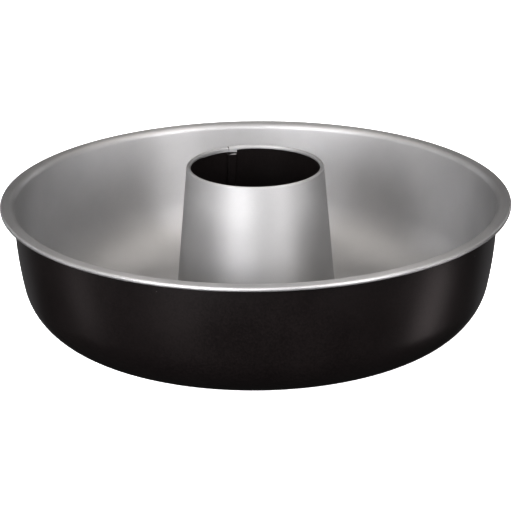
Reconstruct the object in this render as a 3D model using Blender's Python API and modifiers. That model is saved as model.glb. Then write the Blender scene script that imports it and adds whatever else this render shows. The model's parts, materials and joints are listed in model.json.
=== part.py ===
"""A ring cake pan of coated sheet steel, with a tube that stands open at both ends through its middle.

Two pieces of sheet make it. The pan body is drawn from one disc: a flat base, a wide heel, a
wall that bellies out and stands upright at the mouth, and a rim that turns out flat and ends in
a small roll. The tube is a rolled cone with a folded seam down its bore. Its top edge curls
inwards, and its foot is held in the body's centre hole: a bead sits just above the body's
floor, and a flange is turned out just below it, so that neither piece can leave the other.

The axis of the pan is Z, the base rests on Z = 0, and the tube's seam lies on +Y.
"""

from math import acos, atan2, cos, hypot, pi, radians, sin

import bmesh
import bpy
from mathutils import Matrix

MM = 0.001

# The sheet, and the gap that is left between the two pieces.
SHEET = 0.5 * MM
GAP = 0.3 * MM

# Pan body, all on the outside of the sheet unless a line says otherwise.
RIM_RADIUS = 140.0 * MM
RIM_HEIGHT = 72.0 * MM
MOUTH_RADIUS = 132.5 * MM
ROLL_RADIUS = 1.25 * MM
ROLL_TURN = radians(225.0)
RIM_FALL = radians(3.5)
MOUTH_FILLET = 3.2 * MM  # on the inside of the pan, from the wall to the flat of the rim
MOUTH_DRAFT = radians(0.3)
HEEL_DRAFT = radians(11.4)
HEEL_RADIUS = 33.2 * MM

# The step in the base that lifts the land round the centre hole.
STEP_BEND = 1.0 * MM
STEP_SLOPE = radians(45.0)

# Tube, all on the outside of the sheet.
TUBE_HEIGHT = 90.0 * MM
TUBE_TOP_RADIUS = 37.7 * MM
TUBE_FOOT_RADIUS = 45.2 * MM
LIP_RADIUS = 1.15 * MM
LIP_TURN = radians(225.0)

# The joint at the tube's foot.
FOOT_BEAD_RADIUS = 1.2 * MM
FOOT_BEAD_HEIGHT = 0.8 * MM  # how far the bead stands out of the wall
FOOT_BEAD_FILLET = 0.5 * MM
FOOT_FLANGE = 6.0 * MM
FOOT_FLANGE_ROOM = 1.0 * MM
FOOT_LIFT = 1.2 * MM  # from the base plane up to the flange

# The folded seam inside the tube.
SEAM_WIDTH = 4.6 * MM
SEAM_LAYERS = 3
SEAM_ROOT = 0.25 * MM  # how far the strip is let into the wall that it is one with
SEAM_EDGE = 0.4 * MM
SEAM_BELOW_LIP = 1.6 * MM
SEAM_ABOVE_BEAD = 1.5 * MM

# Steps round the axis, and along each bend of a profile.
BODY_STEPS = 72
TUBE_STEPS = 48
CURL_STEPS = 8
HEEL_STEPS = 8
BEAD_STEPS = 4
MOUTH_STEPS = 4
BELLY_STEPS = 3
BEND_STEPS = 2

SHARP_ANGLE = radians(40.0)
SAME_POINT = 0.0001 * MM
WELD = 0.01 * MM

BLACK = (0.012, 0.010, 0.010, 1.0)
SILVER = (0.46, 0.46, 0.46, 1.0)


def clear_scene():
    for obj in list(bpy.data.objects):
        bpy.data.objects.remove(obj, do_unlink=True)


def new_collection(name):
    collection = bpy.data.collections.new(name)
    bpy.context.scene.collection.children.link(collection)
    return collection


def coating(name, colour, roughness, metallic):
    material = bpy.data.materials.new(name)
    material.use_nodes = True
    shader = material.node_tree.nodes["Principled BSDF"]
    shader.inputs["Base Color"].default_value = colour
    shader.inputs["Roughness"].default_value = roughness
    shader.inputs["Metallic"].default_value = metallic
    material.diffuse_color = colour
    return material


def on_circle(centre, radius, angle):
    return (centre[0] + radius * cos(angle), centre[1] + radius * sin(angle))


def arc(centre, radius, start, end, steps):
    """Points along an arc, both ends included, as (distance from the axis, height)."""
    return [on_circle(centre, radius, start + (end - start) * i / steps) for i in range(steps + 1)]


def joined(*runs):
    """The runs as one line, with the point that two neighbours share kept once."""
    points = []
    for run in runs:
        for point in run:
            if not points or hypot(point[0] - points[-1][0], point[1] - points[-1][1]) > SAME_POINT:
                points.append(point)
    return points


# Heights at the foot joint, from the base plane up.
FLANGE_TOP = FOOT_LIFT + SHEET
LAND_UNDER = FLANGE_TOP + GAP
LAND_TOP = LAND_UNDER + SHEET

# Radii there: the tube's neck, the hole round it, and the flange under the land.
HOLE_RADIUS = TUBE_FOOT_RADIUS + GAP
FLANGE_RADIUS = TUBE_FOOT_RADIUS + FOOT_FLANGE
LAND_RADIUS = FLANGE_RADIUS + FOOT_FLANGE_ROOM


def rim_runs():
    """The roll at the pan's edge and the fillet down to the wall, on the sheet's under side."""
    fillet = (MOUTH_RADIUS - SHEET + MOUTH_FILLET, RIM_HEIGHT - MOUTH_FILLET)
    roll_r = RIM_RADIUS - ROLL_RADIUS
    # The flat of the rim touches both circles, so both stand equally deep below its line.
    fall = (fillet[0] - roll_r) * sin(RIM_FALL) + MOUTH_FILLET - ROLL_RADIUS
    roll = (roll_r, fillet[1] + fall / cos(RIM_FALL))
    flat = pi / 2 - RIM_FALL
    turned = arc(roll, ROLL_RADIUS - SHEET, flat - ROLL_TURN, flat, CURL_STEPS)
    down = arc(fillet, MOUTH_FILLET - SHEET, flat, pi - MOUTH_DRAFT, MOUTH_STEPS)
    return turned, down


def wall_runs(mouth):
    """The belly of the wall and the heel, from the mouth down to the base plane."""
    heel_top = HEEL_RADIUS * (1 - sin(HEEL_DRAFT))
    belly_radius = (mouth[1] - heel_top) / (sin(HEEL_DRAFT) - sin(MOUTH_DRAFT))
    belly = on_circle(mouth, -belly_radius, -MOUTH_DRAFT)
    side = arc(belly, belly_radius, -MOUTH_DRAFT, -HEEL_DRAFT, BELLY_STEPS)
    heel = on_circle(side[-1], -HEEL_RADIUS, -HEEL_DRAFT)
    return side, arc(heel, HEEL_RADIUS, -HEEL_DRAFT, -pi / 2, HEEL_STEPS)


def step_runs():
    """The base's step up to the land, from outside inwards, and the land as far as its hole."""
    low, high = STEP_BEND + SHEET, STEP_BEND
    bends = (low + high) * (1 - cos(STEP_SLOPE))
    slope = (LAND_UNDER - bends) / sin(STEP_SLOPE)
    width = (low + high) * sin(STEP_SLOPE) + slope * cos(STEP_SLOPE)
    foot = (LAND_RADIUS + width, low)
    head = (LAND_RADIUS, LAND_UNDER - high)
    rise = arc(foot, low, -pi / 2, -pi / 2 - STEP_SLOPE, BEND_STEPS)
    level = arc(head, high, pi / 2 - STEP_SLOPE, pi / 2, BEND_STEPS)
    return rise, level, [(HOLE_RADIUS, LAND_UNDER)]


def body_profile():
    """The under side of the body's sheet, from inside the roll down to the centre hole."""
    turned, down = rim_runs()
    side, heel = wall_runs(down[-1])
    return joined(turned, down, side, heel, *step_runs())


def cone():
    """Centre of the lip's curl, and the slope of the wall that touches it and meets the floor."""
    lip = (TUBE_TOP_RADIUS - LIP_RADIUS, TUBE_HEIGHT - LIP_RADIUS)
    across, down = TUBE_FOOT_RADIUS - lip[0], LAND_TOP - lip[1]
    taper = atan2(down, across) + acos(LIP_RADIUS / hypot(across, down))
    return lip, taper


def cone_radius(height):
    """Outside radius of the tube's wall at a height."""
    lip, taper = cone()
    return lip[0] + LIP_RADIUS / cos(taper) - (height - lip[1]) * sin(taper) / cos(taper)


def bead_half():
    """Half the foot bead's length along the wall, and the angle at which its fillets take over."""
    reach = FOOT_BEAD_RADIUS + FOOT_BEAD_FILLET
    inset = reach - FOOT_BEAD_HEIGHT
    angle = acos(inset / reach)
    return reach * sin(angle), angle


def bead_middle():
    """Height of the foot bead's middle: its lower end clears the land by the gap."""
    return LAND_TOP + GAP + bead_half()[0]


def bead_runs():
    """The foot bead from its upper fillet to its lower one, standing out of the cone's wall."""
    taper = cone()[1]
    angle = bead_half()[1]
    middle = (cone_radius(bead_middle()), bead_middle())
    bead = on_circle(middle, FOOT_BEAD_HEIGHT - FOOT_BEAD_RADIUS, taper)
    reach = FOOT_BEAD_RADIUS + FOOT_BEAD_FILLET
    upper = on_circle(bead, reach, taper + angle)
    lower = on_circle(bead, reach, taper - angle)
    return (
        arc(upper, -FOOT_BEAD_FILLET, taper, taper + angle, BEND_STEPS),
        arc(bead, FOOT_BEAD_RADIUS, taper + angle, taper - angle, BEAD_STEPS),
        arc(lower, -FOOT_BEAD_FILLET, taper - angle, taper, BEND_STEPS),
    )


def tube_profile():
    """The outside of the tube's sheet, from inside the lip's curl down and out along the flange."""
    lip, taper = cone()
    curl = arc(lip, LIP_RADIUS, taper + LIP_TURN, taper, CURL_STEPS)
    floor = [(TUBE_FOOT_RADIUS, LAND_TOP)]
    # The bend keeps the gap to the lower corner of the hole that the neck passes through.
    bend = arc((HOLE_RADIUS, LAND_UNDER), GAP, pi, 3 * pi / 2, BEND_STEPS)
    return joined(curl, *bead_runs(), floor, bend, [(FLANGE_RADIUS, FLANGE_TOP)])


def turned_shell(name, profile, steps, materials, collection):
    """A sheet turned about Z from its profile and thickened away from the side that was drawn."""
    mesh = bpy.data.meshes.new(name)
    lines = [(i, i + 1) for i in range(len(profile) - 1)]
    mesh.from_pydata([(r, 0.0, z) for r, z in profile], lines, [])
    for material in materials:
        mesh.materials.append(material)
    shell = bpy.data.objects.new(name, mesh)
    collection.objects.link(shell)
    turn = shell.modifiers.new("turn", "SCREW")
    turn.steps = steps
    turn.render_steps = steps
    turn.use_merge_vertices = True
    turn.merge_threshold = WELD
    sheet = shell.modifiers.new("sheet", "SOLIDIFY")
    sheet.thickness = SHEET
    sheet.offset = -1.0
    sheet.use_even_offset = True
    sheet.material_offset = 1
    sheet.material_offset_rim = 1
    return shell


def seam_strip(materials, collection):
    """The folded layers of the seam, as one bar along the inside of the cone on +Y."""
    lip, taper = cone()
    top = lip[1] - LIP_RADIUS - SEAM_BELOW_LIP
    bottom = bead_middle() + bead_half()[0] + SEAM_ABOVE_BEAD
    height = SEAM_LAYERS * SHEET
    middle = (top + bottom) / 2
    bm = bmesh.new()
    size = (SEAM_WIDTH, height + SEAM_ROOT, (top - bottom) / cos(taper), 1.0)
    bmesh.ops.create_cube(bm, size=1.0, matrix=Matrix.Diagonal(size))
    upright = [edge for edge in bm.edges if abs(edge.verts[0].co.z - edge.verts[1].co.z) > SHEET]
    inner = [edge for edge in upright if edge.verts[0].co.y < 0]
    bmesh.ops.bevel(bm, geom=inner, offset=SEAM_EDGE, segments=2, profile=0.5, affect="EDGES")
    mesh = bpy.data.meshes.new("seam_bar")
    bm.to_mesh(mesh)
    bm.free()
    for material in materials:
        mesh.materials.append(material)
    mesh.polygons.foreach_set("material_index", [1] * len(mesh.polygons))
    bar = bpy.data.objects.new("seam_bar", mesh)
    depth = (SHEET + (height - SEAM_ROOT) / 2) / cos(taper)
    bar.location = (0.0, cone_radius(middle) - depth, middle)
    bar.rotation_euler = (taper, 0.0, 0.0)
    bar.hide_render = True
    bar.display_type = "WIRE"
    collection.objects.link(bar)
    return bar


def smooth(obj):
    obj.data.shade_smooth()
    obj.data.set_sharp_from_angle(angle=SHARP_ANGLE)


def make_body(parts, black, silver):
    body = turned_shell("pan_body", body_profile(), BODY_STEPS, (black, silver), parts)
    smooth(body)
    return body


def make_tube(parts, cutters, black, silver):
    tube = turned_shell("centre_tube", tube_profile(), TUBE_STEPS, (silver, black), parts)
    join = tube.modifiers.new("seam", "BOOLEAN")
    join.operation = "UNION"
    join.solver = "EXACT"
    join.object = seam_strip((silver, black), cutters)
    smooth(tube)
    return tube


def main():
    clear_scene()
    parts = new_collection("ring_cake_pan")
    cutters = new_collection("ring_cake_pan_cutters")
    cutters.hide_render = True
    black = coating("black_nonstick_coating", BLACK, 0.42, 0.0)
    silver = coating("silver_nonstick_coating", SILVER, 0.38, 1.0)
    make_body(parts, black, silver)
    make_tube(parts, cutters, black, silver)


main()
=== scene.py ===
# %% [markdown]
# # A ring cake pan in two pieces of coated sheet steel
# The real pan is made of a drawn body and a rolled tube, and both are sheet of half a millimetre.
# One face of the sheet is coated silver-grey and the other satin black, so the inside of the pan is
# silver, the outside is black, and the bore of the tube is black again.
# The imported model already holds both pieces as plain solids. This script dresses them: each piece
# gets a finer sheet of its own in exactly the same place, then its finish.

import json
from math import acos, atan2, cos, degrees, hypot, pi, radians, sin

import bmesh
import bpy
from mathutils import Euler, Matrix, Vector

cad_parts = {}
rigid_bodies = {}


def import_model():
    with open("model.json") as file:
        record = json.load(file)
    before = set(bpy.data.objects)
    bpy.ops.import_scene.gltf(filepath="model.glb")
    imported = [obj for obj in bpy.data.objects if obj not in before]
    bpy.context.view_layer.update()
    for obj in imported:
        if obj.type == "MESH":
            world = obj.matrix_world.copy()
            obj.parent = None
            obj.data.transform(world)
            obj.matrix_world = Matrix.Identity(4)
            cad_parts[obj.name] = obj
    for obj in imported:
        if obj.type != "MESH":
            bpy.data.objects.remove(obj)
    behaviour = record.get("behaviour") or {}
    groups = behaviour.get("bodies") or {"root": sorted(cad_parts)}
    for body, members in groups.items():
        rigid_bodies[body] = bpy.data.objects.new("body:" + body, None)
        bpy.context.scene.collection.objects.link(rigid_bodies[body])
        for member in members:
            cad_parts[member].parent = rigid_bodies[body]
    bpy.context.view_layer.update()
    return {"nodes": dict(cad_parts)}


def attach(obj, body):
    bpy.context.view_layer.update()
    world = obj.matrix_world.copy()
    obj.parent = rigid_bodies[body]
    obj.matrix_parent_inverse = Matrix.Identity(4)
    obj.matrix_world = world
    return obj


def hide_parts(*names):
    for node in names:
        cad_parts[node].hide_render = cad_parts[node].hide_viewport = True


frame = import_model()
print("packed nodes:", sorted(frame["nodes"]))

# %% [markdown]
# ## The camera
# A camera that stands about five times the pan's width away sees almost no perspective, as in a
# catalogue picture. It could be aimed with a Track To constraint, but plain angles are easier to
# read: the heading says on which side of the pan it stands, the pitch how steeply it looks down,
# and the roll is the small tilt of a camera that wasn't quite level. The lens and the sensor are in
# millimetres, as Blender counts them, and everything else is in metres.

# %% Place the camera
MM = 0.001
HEADING = radians(20.7)
PITCH = radians(20.296)
ROLL = radians(-0.447)
CAMERA_DISTANCE = 1405.0 * MM
CAMERA_HEIGHT = 556.75 * MM
LENS = 190.27
SENSOR = 36.0
NEAREST_SEEN = 0.05
FARTHEST_SEEN = 20.0


def make_camera():
    data = bpy.data.cameras.new("camera")
    data.sensor_width = SENSOR
    data.lens = LENS
    data.clip_start = NEAREST_SEEN
    data.clip_end = FARTHEST_SEEN
    camera = bpy.data.objects.new("camera", data)
    bpy.context.scene.collection.objects.link(camera)
    away = CAMERA_DISTANCE
    camera.location = (-sin(HEADING) * away, -cos(HEADING) * away, CAMERA_HEIGHT)
    look = Euler((pi / 2 - PITCH, 0.0, -HEADING)).to_matrix()
    tilt = Euler((0.0, 0.0, ROLL)).to_matrix()
    camera.rotation_euler = (look @ tilt).to_euler()
    bpy.context.scene.camera = camera
    return camera


camera = make_camera()
print("camera at", [round(value, 3) for value in camera.location])

# %% [markdown]
# ## Bends of a sheet
# Every profile of the pan is a chain of bends, and each bend is an arc. If a bend is written down
# by the radius of its silver face, the black face follows by adding or taking away the sheet's
# thickness. Here only the silver face is drawn, and a Solidify modifier adds the black one.

# %% Arcs and runs of points
SHEET = 0.5 * MM
SAME_POINT = 0.0001 * MM


def on_circle(centre, radius, angle):
    return (centre[0] + radius * cos(angle), centre[1] + radius * sin(angle))


def arc(centre, radius, start, end, steps):
    """Points along an arc, both ends included, as (distance from the axis, height)."""
    angles = [start + (end - start) * i / steps for i in range(steps + 1)]
    return [on_circle(centre, radius, angle) for angle in angles]


def apart(first, second):
    return hypot(first[0] - second[0], first[1] - second[1])


def straight(start, end, steps):
    """The points between two others, both left out."""
    across, up = end[0] - start[0], end[1] - start[1]
    along = [i / steps for i in range(1, steps)]
    return [(start[0] + across * t, start[1] + up * t) for t in along]


def joined(*runs):
    """The runs as one line, with the point that two neighbours share kept once."""
    points = []
    for run in runs:
        for point in run:
            if not points or apart(point, points[-1]) > SAME_POINT:
                points.append(point)
    return points


print("helpers for bends are ready")

# %% [markdown]
# ## The profile of the body
# The body is drawn from one disc, so it is the same all the way round: one profile turned about
# the axis says it all. Reading from the edge inwards there is the small roll, the flat rim that
# falls a little outwards, the bend into the wall, the wall that bellies out, the wide heel, the
# flat base, and the step up to the land that holds the tube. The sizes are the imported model's own.

# %% Body profile
GAP = 0.3 * MM
RIM_RADIUS = 140.0 * MM
RIM_HEIGHT = 72.0 * MM
MOUTH_RADIUS = 132.5 * MM
ROLL_RADIUS = 1.25 * MM
ROLL_TURN = radians(225.0)
RIM_FALL = radians(3.5)
MOUTH_FILLET = 3.2 * MM
MOUTH_DRAFT = radians(0.3)
HEEL_DRAFT = radians(11.4)
HEEL_RADIUS = 33.2 * MM
STEP_BEND = 1.0 * MM
STEP_SLOPE = radians(45.0)
LAND_RADIUS = 52.2 * MM
LAND_TOP = 2.5 * MM
HOLE_RADIUS = 45.5 * MM


def rim_profile():
    """The silver face of the roll, the rim and the bend into the wall."""
    bend = (MOUTH_RADIUS - SHEET + MOUTH_FILLET, RIM_HEIGHT - MOUTH_FILLET)
    roll_r = RIM_RADIUS - ROLL_RADIUS
    fall = (bend[0] - roll_r) * sin(RIM_FALL) + MOUTH_FILLET - ROLL_RADIUS
    roll = (roll_r, bend[1] + fall / cos(RIM_FALL))
    flat = pi / 2 - RIM_FALL
    turned = arc(roll, ROLL_RADIUS, flat - ROLL_TURN, flat, steps=24)
    down = arc(bend, MOUTH_FILLET, flat, pi - MOUTH_DRAFT, steps=12)
    return [*turned, *straight(turned[-1], down[0], steps=4), *down], bend


def wall_profile(bend):
    """The silver face of the wall's belly and of the heel, down to the base."""
    mouth = on_circle(bend, MOUTH_FILLET - SHEET, pi - MOUTH_DRAFT)
    heel_top = HEEL_RADIUS * (1 - sin(HEEL_DRAFT))
    belly_radius = (mouth[1] - heel_top) / (sin(HEEL_DRAFT) - sin(MOUTH_DRAFT))
    belly = on_circle(mouth, -belly_radius, -MOUTH_DRAFT)
    heel = on_circle(on_circle(belly, belly_radius, -HEEL_DRAFT), -HEEL_RADIUS, -HEEL_DRAFT)
    side = arc(belly, belly_radius - SHEET, -MOUTH_DRAFT, -HEEL_DRAFT, steps=16)
    return [*side, *arc(heel, HEEL_RADIUS - SHEET, -HEEL_DRAFT, -pi / 2, steps=32)]


def base_profile():
    """The silver face of the step up to the land, and the land as far as its hole."""
    low, high = STEP_BEND + SHEET, STEP_BEND
    under = LAND_TOP - SHEET
    slope = (under - (low + high) * (1 - cos(STEP_SLOPE))) / sin(STEP_SLOPE)
    width = (low + high) * sin(STEP_SLOPE) + slope * cos(STEP_SLOPE)
    foot, head = (LAND_RADIUS + width, low), (LAND_RADIUS, under - high)
    rise = arc(foot, low - SHEET, -pi / 2, -pi / 2 - STEP_SLOPE, steps=6)
    level = arc(head, high + SHEET, pi / 2 - STEP_SLOPE, pi / 2, steps=6)
    hole = (HOLE_RADIUS, LAND_TOP)
    return [*rise, *level, *straight(level[-1], hole, steps=3), hole]


def body_profile():
    rim, bend = rim_profile()
    side = wall_profile(bend)
    base = base_profile()
    return joined(rim, side, straight(side[-1], base[0], steps=8), base)


profile = body_profile()
print("body profile:", len(profile), "points, rim radius", round(max(r for r, z in profile), 5))

# %% [markdown]
# ## From a profile to a sheet
# Blender's Screw modifier would turn the profile as well. Here the rings are made one by one
# instead,
# because the tube needs a turn that overlaps itself, and one function can then serve both pieces:
# it takes any table of points and skins it, leaving out the cells that a cut-out takes away.
# The Solidify modifier gives the silver surface its thickness and puts the second material on the
# far face and the third on every cut edge, just as a coated blank looks after it is cut.

# %% Skin a table of points
MERGE_REACH = 0.0005 * MM
SHARP_EDGE = radians(40.0)


def skin(name, rows, closed=False, present=None):
    """A mesh over rows of points. Cells for which present(row, column) is false stay open."""
    mesh = bpy.data.meshes.new(name)
    width = len(rows[0])
    points = [point for row in rows for point in row]
    cells = []
    for i in range(len(rows) - 1):
        for j in range(width if closed else width - 1):
            if present is None or present(i, j):
                k = (j + 1) % width
                here, below = i * width, (i + 1) * width
                cells.append((here + j, here + k, below + k, below + j))
    mesh.from_pydata(points, [], cells)
    return mesh


def around(r, z, angle):
    return (r * cos(angle), r * sin(angle), z)


def turned_rows(points, steps):
    return [[around(r, z, 2 * pi * j / steps) for j in range(steps)] for r, z in points]


def merged(name, skins):
    """The skins as one mesh: points that two skins share are joined, and unused points go."""
    bm = bmesh.new()
    for part in skins:
        bm.from_mesh(part)
        bpy.data.meshes.remove(part)
    bmesh.ops.remove_doubles(bm, verts=bm.verts, dist=MERGE_REACH)
    loose = [vert for vert in bm.verts if not vert.link_faces]
    bmesh.ops.delete(bm, geom=loose, context="VERTS")
    mesh = bpy.data.meshes.new(name)
    bm.to_mesh(mesh)
    bm.free()
    return mesh


def coated_sheet(name, mesh, finishes):
    """A piece that wears one finish on its drawn face, one on its far face and one on its cuts."""
    for finish in finishes:
        mesh.materials.append(finish)
    piece = bpy.data.objects.new(name, mesh)
    bpy.context.scene.collection.objects.link(piece)
    sheet = piece.modifiers.new("sheet", "SOLIDIFY")
    sheet.thickness = SHEET
    sheet.offset = -1.0
    sheet.use_even_offset = True
    sheet.material_offset = 1
    sheet.material_offset_rim = 2
    seen = piece.evaluated_get(bpy.context.evaluated_depsgraph_get())
    solid = bpy.data.meshes.new_from_object(seen)
    piece.modifiers.clear()
    piece.data = solid
    solid.name = name
    solid.shade_smooth()
    solid.set_sharp_from_angle(angle=SHARP_EDGE)
    return piece


print("skins are ready")

# %% [markdown]
# ## The profile of the tube
# The tube is rolled from a flat fan of sheet, so its wall is a cone. Its lip curls inwards at the
# top. At the foot a bead stands out just above the body's land, and a flange turns out just below
# it, so the body is held between the two. Each point is kept with the direction that its silver
# face looks in, because the sheet overlaps itself at the seam and one end has to go in by its own
# thickness.

# %% Tube profile
TUBE_HEIGHT = 90.0 * MM
TUBE_TOP_RADIUS = 37.7 * MM
TUBE_FOOT_RADIUS = 45.2 * MM
LIP_RADIUS = 1.15 * MM
LIP_TURN = radians(225.0)
BEAD_RADIUS = 1.2 * MM
BEAD_HEIGHT = 0.8 * MM
BEAD_FILLET = 0.5 * MM
FLANGE_RADIUS = 51.2 * MM
FLANGE_TOP = 1.7 * MM
LIP = (TUBE_TOP_RADIUS - LIP_RADIUS, TUBE_HEIGHT - LIP_RADIUS)


def cone_taper():
    """The angle by which the wall's silver face looks up from the horizontal."""
    across, down = TUBE_FOOT_RADIUS - LIP[0], LAND_TOP - LIP[1]
    return atan2(down, across) + acos(LIP_RADIUS / hypot(across, down))


TAPER = cone_taper()
TANGENT = on_circle(LIP, LIP_RADIUS, TAPER)


def cone_radius(height):
    return TANGENT[0] + (TANGENT[1] - height) * sin(TAPER) / cos(TAPER)


def facing(centre, radius, start, end, steps):
    """An arc as points with the direction that its silver face looks in."""
    turns = [start + (end - start) * i / steps for i in range(steps + 1)]
    return [(*on_circle(centre, radius, turn), cos(turn), sin(turn)) for turn in turns]


def cone_rows(heights):
    return [(cone_radius(height), height, cos(TAPER), sin(TAPER)) for height in heights]


def bead_rows():
    """The bead above the land, with a fillet into the wall at each end, and where it starts."""
    reach = BEAD_RADIUS + BEAD_FILLET
    turn = acos((reach - BEAD_HEIGHT) / reach)
    half = reach * sin(turn)
    height = LAND_TOP + GAP + half
    bead = on_circle((cone_radius(height), height), BEAD_HEIGHT - BEAD_RADIUS, TAPER)
    upper = on_circle(bead, reach, TAPER + turn)
    lower = on_circle(bead, reach, TAPER - turn)
    rows = facing(upper, -BEAD_FILLET, TAPER, TAPER + turn, steps=4)
    rows += facing(bead, BEAD_RADIUS, TAPER + turn, TAPER - turn, steps=10)
    rows += facing(lower, -BEAD_FILLET, TAPER - turn, TAPER, steps=4)
    return rows, height + half


def foot_rows():
    """The neck through the body's hole, and the flange that turns out below the land."""
    under = LAND_TOP - SHEET
    neck = [(TUBE_FOOT_RADIUS, LAND_TOP, 1.0, 0.0)]
    bend = facing((HOLE_RADIUS, under), -GAP, 0.0, pi / 2, steps=5)
    reach = straight((HOLE_RADIUS, FLANGE_TOP), (FLANGE_RADIUS, FLANGE_TOP), steps=3)
    flange = [(r, z, 0.0, 1.0) for r, z in [*reach, (FLANGE_RADIUS, FLANGE_TOP)]]
    return neck + bend + flange


bead, bead_top = bead_rows()
foot = foot_rows()
print("tube taper", round(degrees(TAPER), 2), "degrees")
print("bead ends at", round(bead_top / MM, 2), "mm")

# %% [markdown]
# ## The seam of the tube
# The two edges of the rolled sheet are hooked into each other and pressed flat, a grooved seam:
# four layers of sheet, of which three stand into the bore, and outside only a fine line. Near the
# lip the hooks are notched away, so that just two layers have to be curled. There one edge lies on
# the other and its cut end makes a small step in the lip. Two layers don't curl as tightly as one:
# near the seam the lip's curl is looser, and the inner layer's spare end hangs straight down below
# it. A bar laid on a plain cone would show none of this, so the sheet is followed layer by layer.
# Positions along the seam's width are lengths from the line outside.

# %% Where the seam's layers run
SEAM_WIDTH = 5.1 * MM
LINE_OFFSET = 2.3 * MM
LAYER = SHEET + 0.01 * MM
FOLD = LAYER + SHEET / 2
FOLD_CLEARANCE = 0.015 * MM
OVER_END_GAP = 0.1 * MM
UNDER_END_GAP = 0.3 * MM


def line_angle(r):
    """The direction of the outside line, seen from the axis, at a radius."""
    return pi / 2 + LINE_OFFSET / r


def hook_over():
    """The edge that stays outside: from its end inside the seam, round the fold, to the wall."""
    end = (SEAM_WIDTH - FOLD - OVER_END_GAP, 2 * FOLD)
    fold = arc((FOLD, FOLD), FOLD, pi / 2, 3 * pi / 2, steps=12)
    return joined([end], straight(end, fold[0], steps=4), fold)


def hook_under():
    """The edge that goes inside: in by three layers, along the bore, back between the others."""
    round_fold = FOLD + FOLD_CLEARANCE
    out = arc((-FOLD_CLEARANCE - FOLD, FOLD), FOLD, -pi / 2, 0.0, steps=6)
    into = arc((FOLD, FOLD), round_fold, pi, pi / 2, steps=6)
    inner = LAYER - SHEET / 2
    depth = FOLD + round_fold
    turn = arc((SEAM_WIDTH - FOLD, depth - inner), inner, pi / 2, -pi / 2, steps=12)
    back = (FOLD + UNDER_END_GAP, depth - 2 * inner)
    along = straight(into[-1], turn[0], steps=4)
    between = straight(turn[-1], back, steps=4)
    return joined(out, into, along, turn, between, [back])


print("points across the seam:", len(hook_over()), "outer and", len(hook_under()), "inner")

# %% [markdown]
# ## One table for the whole tube
# The tube's rows go down its profile, and its columns go once round from the outside line back to
# it, then a little further under the first edge. Every row says how the seam is made there: as a
# plain lap, or as the hooked lock. Between the lap below the lip and the top of the lock lies the
# notch, where the inner layer is cut away. Columns stand closer together near the seam, where the
# surface bends more. They are shares of a turn, so that they follow the cone as it widens.

# %% Rows and columns of the tube
TUBE_TURN = 2 * pi * TUBE_TOP_RADIUS
SEAM_MEAN_RADIUS = 40.0 * MM
JOG = 1.3 * MM
JOG_TURN = JOG / (2 * pi * SEAM_MEAN_RADIUS)
CURL_STEPS = 28
BELOW_LIP = (88.2 * MM, 87.5 * MM)
LAP_END = 86.75 * MM
STRIP_TOP = 85.75 * MM
STRIP_BOTTOM = bead_top + 1.5 * MM
STRIP_STEPS = 24
LAP_START = STRIP_BOTTOM - 0.6 * MM
NEAR_SHARES = (0.0, 0.002, 0.004, 0.006, 0.009, 0.012, 0.016)
MIDDLE_START = 0.02
MIDDLE_END = 0.92
MIDDLE_STEPS = 180
RAMP_STEPS = 24
JOG_STEPS = 4
LAP_STEPS = 6


def tube_rows():
    """Each row as (kind of seam, share of the curl, place, facing). None stands for no value."""
    rows = [("lap", 1 - i / CURL_STEPS, None, None) for i in range(CURL_STEPS)]
    lip_foot = [TANGENT[1], *BELOW_LIP, LAP_END]
    strip = STRIP_BOTTOM - STRIP_TOP
    lock = [STRIP_TOP + strip * i / STRIP_STEPS for i in range(STRIP_STEPS + 1)]
    low = [LAP_START, (LAP_START + bead_top) / 2]
    rows += [("lap", None, row[:2], row[2:]) for row in cone_rows(lip_foot)]
    rows += [("lock", None, row[:2], row[2:]) for row in cone_rows(lock)]
    rows += [("lap", None, row[:2], row[2:]) for row in [*cone_rows(low), *bead, *foot]]
    return rows


def turn_shares():
    """How far round each column is, from 0 to 1."""
    middle = (MIDDLE_END - MIDDLE_START) / MIDDLE_STEPS
    ramp = (1 - JOG_TURN - MIDDLE_END) / RAMP_STEPS
    shares = [*NEAR_SHARES, MIDDLE_START]
    shares += [MIDDLE_START + middle * i for i in range(1, MIDDLE_STEPS + 1)]
    shares += [MIDDLE_END + ramp * i for i in range(1, RAMP_STEPS + 1)]
    shares += [1 - JOG_TURN * (1 - i / JOG_STEPS) for i in range(1, JOG_STEPS + 1)]
    return shares


rows = tube_rows()
shares = turn_shares()
laps = [SEAM_WIDTH * i / LAP_STEPS for i in range(1, LAP_STEPS + 1)]
print("tube table:", len(rows), "rows of", len(shares) + len(laps), "points")

# %% [markdown]
# ## How the lip gives way at the seam
# The inner edge has to sink by one thickness before it slides under the outer one. On the wall it
# does so in a short jog, and in the stiff curl it takes a longer ramp. The curl of both edges
# opens a little there, and the width of sheet that isn't wound up hangs down as a spare end. Each
# of these fades out over its own length along the lip, so the change looks bent and not cut.

# %% Depth and looseness near the seam
LAP = SHEET + 0.02 * MM
JOG_WIDENING = 1.5
CURL_RAMP_OUTSIDE = 5.0 * MM
CURL_RAMP_GAIN = 13.0 * MM
LIP_OPENING = radians(45.0)
OPENING_REACH = 28.0 * MM
HANG = 1.75 * MM
HANG_REACH = 26.0 * MM
HANG_FADE = 9.0 * MM
HANG_LESS_BEFORE = 0.03
HANG_MORE_UNDER = 0.14
OUTER_HANG = 0.75 * MM
OUTER_REACH = 10.0 * MM
OUTER_FADE = 5.0 * MM


def smooth_step(x):
    x = min(max(x, 0.0), 1.0)
    return x * x * (3 - 2 * x)


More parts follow.
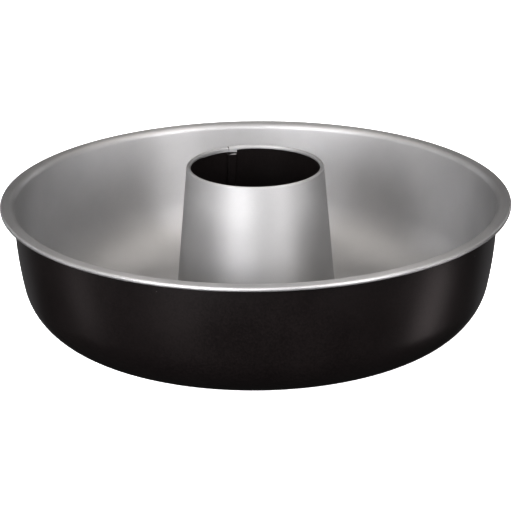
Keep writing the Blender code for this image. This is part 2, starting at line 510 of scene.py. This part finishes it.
def lap_depth(row, turn_left):
    """How far the inner edge lies in from the outer one, at a share of a turn before the line."""
    kind, curl, place, face = row
    if curl is not None:
        ramp = CURL_RAMP_OUTSIDE + CURL_RAMP_GAIN * curl
    elif kind == "lap" and place[1] > LAP_END:
        ramp = JOG + (place[1] - LAP_END) * JOG_WIDENING
    else:
        ramp = JOG
    return LAP * smooth_step(1 - turn_left * TUBE_TURN / ramp) if kind == "lap" else 0.0


def loosened(depth, past_line):
    """How far the curl is opened there, from 0 to 1, and the length that hangs straight down."""
    before = TUBE_TURN - past_line
    if depth == 0.0 and before > TUBE_TURN / 2:
        loose = smooth_step((OUTER_REACH - past_line) / OUTER_FADE)
        return loose, OUTER_HANG * loose
    if before < 0.0:
        return 1.0, HANG - HANG_MORE_UNDER * before
    fade = smooth_step((HANG_REACH - before) / HANG_FADE)
    return max(0.0, 1 - before / OPENING_REACH), (HANG - HANG_LESS_BEFORE * before) * fade


print("the curl opens", round(OPENING_REACH / MM), "mm before the seam")

# %% [markdown]
# ## The tube's points
# With those rules, one function gives the place of any point of the silver face. It takes the
# point's row, how deep it lies and how far round it is, so the plain wall, the lip and both hooked
# edges of the seam come from the same few lines and meet exactly.

# %% Points of the tube
STRIP_SLANT = 0.35
SLANT_REACH = 1.0 * MM
FOLD_SHARE = 0.012


def curl_point(share, depth, past_line):
    """A point of the lip's curl. Near the seam the curl is looser, and its spare end hangs down."""
    radius = LIP_RADIUS - depth
    loose, hang = loosened(depth, past_line)
    wound = radius * (LIP_TURN - LIP_OPENING * loose)
    along = share * (wound + hang)
    angle = TAPER + min(along, wound) / radius
    r, z = on_circle(LIP, radius, angle)
    rest = max(along - wound, 0.0)
    return r - rest * sin(angle), z + rest * cos(angle)


def tube_point(row, depth, past_line):
    """A point of the silver face, by how deep it lies and how far past the line (two lengths)."""
    kind, curl, place, face = row
    if curl is not None:
        r, z = curl_point(curl, depth, past_line)
        around_r = TUBE_TOP_RADIUS
    else:
        r, z = place[0] - depth * face[0], place[1] - depth * face[1]
        if kind == "lock" and place[1] > STRIP_TOP - SLANT_REACH:
            z -= STRIP_SLANT * depth
        around_r = place[0]
    return around(r, z, line_angle(around_r) - past_line / around_r)


def main_row(row, shares, laps):
    """The row's points once round, and on under the first edge."""
    kind, curl, place, face = row
    r = place[0] if place else TUBE_TOP_RADIUS
    start = FOLD if kind == "lock" else 0.0
    points = []
    for share in shares:
        past = share * 2 * pi * r + start * max(0.0, 1 - share / FOLD_SHARE)
        points.append(tube_point(row, lap_depth(row, 1 - share), past))
    for lap in laps:
        points.append(tube_point(row, LAP, 2 * pi * r + lap))
    return points


def hook_rows(rows, path, first=None):
    """The rows of a hooked edge: its path across, repeated down the lock."""
    made = []
    for row in rows:
        r = row[2][0]
        points = [tube_point(row, depth, past) for past, depth in path]
        if first is not None:
            points.insert(0, tube_point(row, 0.0, (first - 1) * 2 * pi * r))
        made.append(points)
    return made


wall_rows = [main_row(row, shares, laps) for row in rows]
highest = max(z for points in wall_rows for x, y, z in points)
print("the lip's highest point is at", round(highest / MM, 2), "mm")

# %% [markdown]
# ## Shader sums in plain Python
# A material is a graph of nodes, and wiring it node by node hides what it says. This small class
# wraps one output of a node. Adding or multiplying two of them adds the Math node that does it, so
# a mask reads like a formula. Every other node comes from one method.

# %% A wire between nodes
class Wire:
    """One value in a material's nodes. A sum or product adds the node that works it out."""

    def __init__(self, tree, socket=None):
        self.tree = tree
        self.socket = socket

    def node(self, kind, settings=None, sockets=None, output=0):
        """A node of this kind: its settings come first, then the values or wires of its sockets."""
        made = self.tree.nodes.new(kind)
        for name, value in (settings or {}).items():
            setattr(made, name, value)
        for name, value in (sockets or {}).items():
            if isinstance(value, Wire):
                self.tree.links.new(value.socket, made.inputs[name])
            else:
                made.inputs[name].default_value = value
        return Wire(self.tree, made.outputs[output])

    def math(self, operation, first, second):
        return self.node("ShaderNodeMath", {"operation": operation}, {0: first, 1: second})

    def __add__(self, other):
        return self.math("ADD", self, other)

    def __radd__(self, other):
        return self.math("ADD", other, self)

    def __sub__(self, other):
        return self.math("SUBTRACT", self, other)

    def __rsub__(self, other):
        return self.math("SUBTRACT", other, self)

    def __mul__(self, other):
        return self.math("MULTIPLY", self, other)

    def __rmul__(self, other):
        return self.math("MULTIPLY", other, self)

    def step(self, low, high):
        """Rises smoothly from 0 to 1 as the value goes from low to high."""
        limits = {"Value": self, "From Min": low, "From Max": high}
        return self.node("ShaderNodeMapRange", {"interpolation_type": "SMOOTHSTEP"}, limits)

    def noise(self, size, detail=2.0):
        """Cloudy noise from 0 to 1 whose blobs are about this size, in metres."""
        sockets = {"Vector": self, "Scale": 1.0 / size, "Detail": detail}
        return self.node("ShaderNodeTexNoise", {"noise_dimensions": "3D"}, sockets)

    def blend(self, first, second):
        """One colour where this mask is 0 and the other where it is 1."""
        sockets = {0: self, 6: first, 7: second}
        return self.node("ShaderNodeMix", {"data_type": "RGBA"}, sockets, output=2)


def new_finish(name, constants):
    """A new finish: its shader, with the values that are the same all over, and the place."""
    material = bpy.data.materials.new(name)
    material.use_nodes = True
    tree = material.node_tree
    shader = tree.nodes["Principled BSDF"]
    for socket, value in constants.items():
        shader.inputs[socket].default_value = value
    place = Wire(tree).node("ShaderNodeTexCoord", output=3)
    return material, shader, place


def feed(shader, **wires):
    """Joins wires to the shader's sockets: base_color feeds Base Color, and so on."""
    for name, wire in wires.items():
        socket = shader.inputs[name.replace("_", " ").title()]
        wire.tree.links.new(wire.socket, socket)


def relief(height, depth):
    """A bump whose full height is this depth, in metres."""
    sockets = {"Strength": 1.0, "Distance": depth, "Height": height}
    return height.node("ShaderNodeBump", None, sockets)


print("shader helpers are ready")

# %% [markdown]
# ## The silver coating
# The inside is sprayed with a resin full of fine aluminium flakes. A plain grey metal would look
# like bare sheet: the flakes lie at slightly different angles, so part of the light is thrown back
# as by paint and part as by metal, and Metallic stays below 1. Forming has also combed the
# surface, so highlights run up and down the walls. The shader calls that anisotropy. With no
# tangent given it works in rings about the piece's own Z axis, which suits a round pan, and a
# quarter of a turn stretches the highlights the right way.
# Bare metal turns white where it is seen at a slant. The flakes lie under resin and don't, so the
# edge tint is dark. The body's coating also has a thin film of clear resin on top, the shader's
# coat, and the tube's is a little duller and has none.

# %% Silver coating
GREY = (0.47, 0.47, 0.47, 1.0)
PALE_GREY = (0.53, 0.53, 0.53, 1.0)
FLAKE_SIZE = 0.16 * MM
SILVER_CLOUD = 20.0 * MM
PEEL_SIZE = 0.8 * MM
PEEL_DEPTH = 0.003 * MM
QUARTER_TURN = 0.25
RESIN_ROUGHNESS = 0.4
ROUGHNESS_SPREAD = 0.08


def silver_coating(name, metallic, rough, edge, resin):
    """Aluminium-flake coating. Edge is how bright it stays where the surface is seen at a slant."""
    constants = {"Metallic": metallic, "Anisotropic": 0.6, "Anisotropic Rotation": QUARTER_TURN}
    constants["Specular Tint"] = (edge, edge, edge, 1.0)
    constants["Coat Weight"] = resin
    constants["Coat Roughness"] = RESIN_ROUGHNESS
    material, shader, place = new_finish(name, constants)
    flake = place.noise(FLAKE_SIZE)
    cloud = place.noise(SILVER_CLOUD)
    tone = flake * 0.6 + cloud * 0.4
    colour = tone.step(0.3, 0.7).blend(GREY, PALE_GREY)
    roughness = cloud * ROUGHNESS_SPREAD + (rough - ROUGHNESS_SPREAD / 2)
    peel = relief(place.noise(PEEL_SIZE), PEEL_DEPTH)
    feed(shader, base_color=colour, roughness=roughness, normal=peel)
    return material


body_coat = {"metallic": 0.95, "rough": 0.55, "edge": 0.25, "resin": 0.25}
tube_coat = {"metallic": 0.9, "rough": 0.68, "edge": 0.2, "resin": 0.0}
drawn_silver = silver_coating("drawn_silver_coating", **body_coat)
rolled_silver = silver_coating("rolled_silver_coating", **tube_coat)
print("silver coatings:", drawn_silver.name, "and", rolled_silver.name)

# %% [markdown]
# ## The black coating
# Outside, and in the bore, the coating is satin black with a slightly warm tone. Real black paint
# never has a colour of zero, and its sheen is a soft reflection. Its fine grain shows as a mottled
# tone. A few pale grains of dust have settled in it, as they do in any oven-cured coating.
# A Voronoi texture gives them: it scatters points all through space, and only the few that happen
# to lie on the sheet show as a speck.

# %% Black coating
DEEP_BLACK = (0.0068, 0.0050, 0.0050, 1.0)
SOFT_BLACK = (0.0125, 0.0096, 0.0095, 1.0)
DUST = (0.30, 0.29, 0.28, 1.0)
GRAIN_SIZE = 1.1 * MM
GRAIN_DEPTH = 0.004 * MM
BLACK_CLOUD = 30.0 * MM
BLACK_ROUGHNESS = 0.28
SPECK_SPACING = 16.0 * MM
SPECK_RADIUS = 0.28 * MM


def black_coating():
    material, shader, place = new_finish("black_coating", {"Specular IOR Level": 0.5})
    grain = place.noise(GRAIN_SIZE, detail=4.0)
    cloud = place.noise(BLACK_CLOUD)
    tone = grain * 0.75 + cloud * 0.25
    coat = tone.step(0.36, 0.64).blend(DEEP_BLACK, SOFT_BLACK)
    scatter = {"Vector": place, "Scale": 1.0 / SPECK_SPACING}
    nearest = place.node("ShaderNodeTexVoronoi", {"feature": "F1"}, scatter)
    size = SPECK_RADIUS / SPECK_SPACING
    speck = 1.0 - nearest.step(0.8 * size, 1.2 * size)
    colour = speck.blend(coat, DUST)
    roughness = cloud * ROUGHNESS_SPREAD + BLACK_ROUGHNESS
    feed(shader, base_color=colour, roughness=roughness, normal=relief(grain, GRAIN_DEPTH))
    return material


black = black_coating()
print("black coating:", len(black.node_tree.nodes), "nodes")

# %% [markdown]
# ## The cut edges
# The sheet is coated before it is cut, so the thin edge of the cut is bare steel. It shows only at
# the tube's seam, where the end of a folded layer catches the light. Its colour is painted shade on
# one side, where the lip above shadows the end, and a painted highlight on the other, so it
# brightens across.

# %% Cut steel
# Painted shade and painted highlight: the dark and the bright colour of the cut end.
PAINTED_SHADE_STEEL = (0.12, 0.11, 0.10, 1.0)
PAINTED_HIGHLIGHT_STEEL = (0.95, 0.93, 0.90, 1.0)
STREAK_SIZE = 0.3 * MM
STREAK_DEPTH = 0.01 * MM
SHADE_SIDE = -2.2 * MM
HIGHLIGHT_SIDE = 3.0 * MM


def cut_steel():
    material, shader, place = new_finish("cut_steel", {"Metallic": 1.0})
    streak = place.noise(STREAK_SIZE, detail=3.0)
    across = place.node("ShaderNodeSeparateXYZ", None, {0: place})
    # Painted light and shade: the cut end is painted dark where the lip above shades it and bright
    # where it catches the light.
    painted_light = across.step(SHADE_SIDE, HIGHLIGHT_SIDE) * (0.8 + streak * 0.3)
    colour = painted_light.blend(PAINTED_SHADE_STEEL, PAINTED_HIGHLIGHT_STEEL)
    roughness = 0.35 + streak * 0.2
    feed(shader, base_color=colour, roughness=roughness, normal=relief(streak, STREAK_DEPTH))
    return material


steel = cut_steel()
print("cut steel:", len(steel.node_tree.nodes), "nodes")

# %% [markdown]
# ## The body
# The press draws the body in one piece, so it is one sheet here as well, with no joint anywhere.
# The profile goes round in 256 steps, enough for a smooth rim even close up. A piece that stands
# for an imported solid rides on the same moving body and takes that node's place, which is hidden.

# %% Build the body
BODY_TURNS = 256


def build_body():
    whole = skin("body_skin", turned_rows(profile, BODY_TURNS), closed=True)
    mesh = merged("pan_body_sheet", [whole])
    body = coated_sheet("pan_body_sheet", mesh, (drawn_silver, black, steel))
    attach(body, "root")
    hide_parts("pan_body")
    return body


body = build_body()
print("body:", len(body.data.polygons), "faces")

# %% [markdown]
# ## The tube
# The tube's sheet is skinned in three parts that share their edges: the wall with its plain lap,
# the edge that is hooked inside, and the edge that is hooked over it. They are merged before the
# sheet gets its thickness, so the seam is one folded strip and not three loose ones. The cells of
# the wall whose place the hooks take are left out, apart from those that close the notch.

# %% Build the tube
def build_tube():
    jog_start = len(shares) - JOG_STEPS - 1
    kinds = [row[0] for row in rows]

    def present(i, j):
        both_lap = kinds[i] == "lap" and kinds[i + 1] == "lap"
        notch = kinds[i] == "lap" and kinds[i + 1] == "lock" and j <= len(shares)
        return j < jog_start or both_lap or notch

    lock = [row for row in rows if row[0] == "lock"]
    under = hook_rows(lock, hook_under(), first=1 - JOG_TURN)
    over = hook_rows(lock, hook_over())
    skins = [skin("wall", wall_rows, present=present), skin("under", under), skin("over", over)]
    mesh = merged("centre_tube_sheet", skins)
    tube = coated_sheet("centre_tube_sheet", mesh, (rolled_silver, black, steel))
    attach(tube, "root")
    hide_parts("centre_tube")
    return tube


tube = build_tube()
print("tube:", len(tube.data.polygons), "faces")

# %% [markdown]
# ## The paper
# Catalogue pictures are taken on a sweep, paper that lies flat under the object and curves up
# behind it. Here it is turned all round the pan, so that every view has the same white behind it.
# It shines by itself and is hidden from the pan's reflections, so it stays even and white and the
# softboxes alone shape the pan.

# %% Paper sweep
SWEEP_RADIUS = 3.0
SWEEP_BEND = 0.6
SWEEP_HEIGHT = 4.0
SWEEP_TURNS = 96
PAPER_DROP = 0.1 * MM
PAPER_GLOW = 1.05


def sweep_profile():
    bend = (SWEEP_RADIUS - SWEEP_BEND, SWEEP_BEND - PAPER_DROP)
    curve = arc(bend, SWEEP_BEND, -pi / 2, 0.0, steps=16)
    return joined([(0.0, -PAPER_DROP)], curve, [(SWEEP_RADIUS, SWEEP_HEIGHT)])


def make_sweep():
    mesh = skin("paper", turned_rows(sweep_profile(), SWEEP_TURNS), closed=True)
    mesh.shade_smooth()
    sweep = bpy.data.objects.new("paper", mesh)
    bpy.context.scene.collection.objects.link(sweep)
    white = (1.0, 1.0, 1.0, 1.0)
    glow = {"Roughness": 0.9, "Emission Color": white, "Emission Strength": PAPER_GLOW}
    mesh.materials.append(new_finish("white_paper", glow)[0])
    sweep.visible_diffuse = False
    sweep.visible_glossy = False
    sweep.visible_shadow = False
    return sweep


sweep = make_sweep()
print("paper sweep:", SWEEP_RADIUS, "m round the pan")

# %% [markdown]
# ## The light
# The pan is lit by large softboxes, each a rectangle that shines evenly towards the pan. The main
# ones stand in front, a little above the rim. Those on the left and on the right are bright and
# draw the upright bands on the tube, the left one with a wing that widens its band, and a dimmer
# one in the middle fills the space between them. A weak one above the middle and one at each side
# round off the bands. Low strips light the walls and the black outside, a ring of boxes high above
# lights the floor of the pan, and weaker ones behind light the rim.
# Four dim ones stand for pale cards that lie on the table: the black outside leans down, so it
# mirrors what lies round it. The one behind gives the outline of the black its faint pale edge.
# A softbox is given by the direction it stands in, seen from the pan, with 0 degrees at the camera.

# %% Softboxes
LIGHT_DISTANCE = 1.6
COOL = (1.0, 0.99, 1.012)
WARM = (1.045, 1.0, 0.965)
ROSE = (1.08, 0.97, 0.97)


def softbox(name, side, up, width, height, brightness, colour=COOL):
    """An even rectangle of light. Its power follows from its size and brightness."""
    data = bpy.data.lights.new(name, "AREA")
    data.shape = "RECTANGLE"
    data.size = width
    data.size_y = height
    data.energy = pi * width * height * brightness
    data.color = colour
    light = bpy.data.objects.new(name, data)
    bpy.context.scene.collection.objects.link(light)
    turn = radians(side) - HEADING
    lift = radians(up)
    back = Vector((sin(turn) * cos(lift), -cos(turn) * cos(lift), sin(lift)))
    light.location = back * LIGHT_DISTANCE
    light.rotation_euler = back.to_track_quat("Z", "Y").to_euler()
    return light


softbox("front_left", side=-23, up=20, width=0.5, height=0.4, brightness=18.8)
softbox("front_left_wing", side=-39, up=20, width=0.45, height=0.4, brightness=12.5)
softbox("front_middle", side=3, up=20, width=0.85, height=0.4, brightness=7.0)
softbox("front_top", side=5, up=38, width=0.6, height=0.45, brightness=2.0)
softbox("front_right", side=42, up=20, width=0.45, height=0.4, brightness=18.5)
softbox("left_edge", side=-53, up=20, width=0.4, height=0.4, brightness=3.0)
softbox("right_edge", side=56, up=20, width=0.4, height=0.4, brightness=2.8)
softbox("low_front", side=-20, up=6, width=0.56, height=0.3, brightness=13.5)
softbox("low_left", side=-50, up=6, width=1.0, height=0.3, brightness=3.6)
softbox("low_left_end", side=-82, up=6, width=0.6, height=0.3, brightness=6.6)
softbox("low_right", side=44, up=6, width=0.7, height=0.3, brightness=4.6)
softbox("low_right_end", side=82, up=6, width=0.7, height=0.3, brightness=7.2)
softbox("card_left", side=-90, up=-24, width=0.35, height=0.5, brightness=0.9, colour=ROSE)
softbox("card_front", side=-36, up=-25, width=0.6, height=0.4, brightness=0.6, colour=ROSE)
softbox("card_behind", side=180, up=-18, width=3.0, height=0.8, brightness=0.22)
softbox("card_right", side=93, up=-27, width=0.35, height=0.55, brightness=2.1, colour=ROSE)
for side, brightness in ((-140, 3.8), (-108, 4.0), (140, 4.2), (180, 1.5)):
    softbox("rear", side, up=20, width=0.45, height=0.4, brightness=brightness)
for side, brightness in ((-135, 1.7), (-90, 2.1), (-45, 3.0), (45, 4.8), (90, 1.5), (135, 2.3)):
    softbox("high", side, up=55, width=0.8, height=0.6, brightness=brightness, colour=WARM)
print("softboxes:", len(bpy.data.lights))

# %% [markdown]
# ## The room and the picture's contrast
# A dim, even world stands for the light that a pale room throws back. The camera of such a picture
# adds contrast, so the view's gamma is a little below 1, on the plain Standard transform.

# %% Room light and contrast
ROOM_LIGHT = 0.03
GAMMA = 0.8


def make_room(strength):
    world = bpy.data.worlds.new("studio")
    world.use_nodes = True
    sockets = world.node_tree.nodes["Background"].inputs
    sockets["Color"].default_value = (1.0, 1.0, 1.0, 1.0)
    sockets["Strength"].default_value = strength
    bpy.context.scene.world = world
    return world


room = make_room(ROOM_LIGHT)
view = bpy.context.scene.view_settings
view.view_transform = "Standard"
view.gamma = GAMMA
print("room light of", room.name, "and gamma", round(view.gamma, 2))
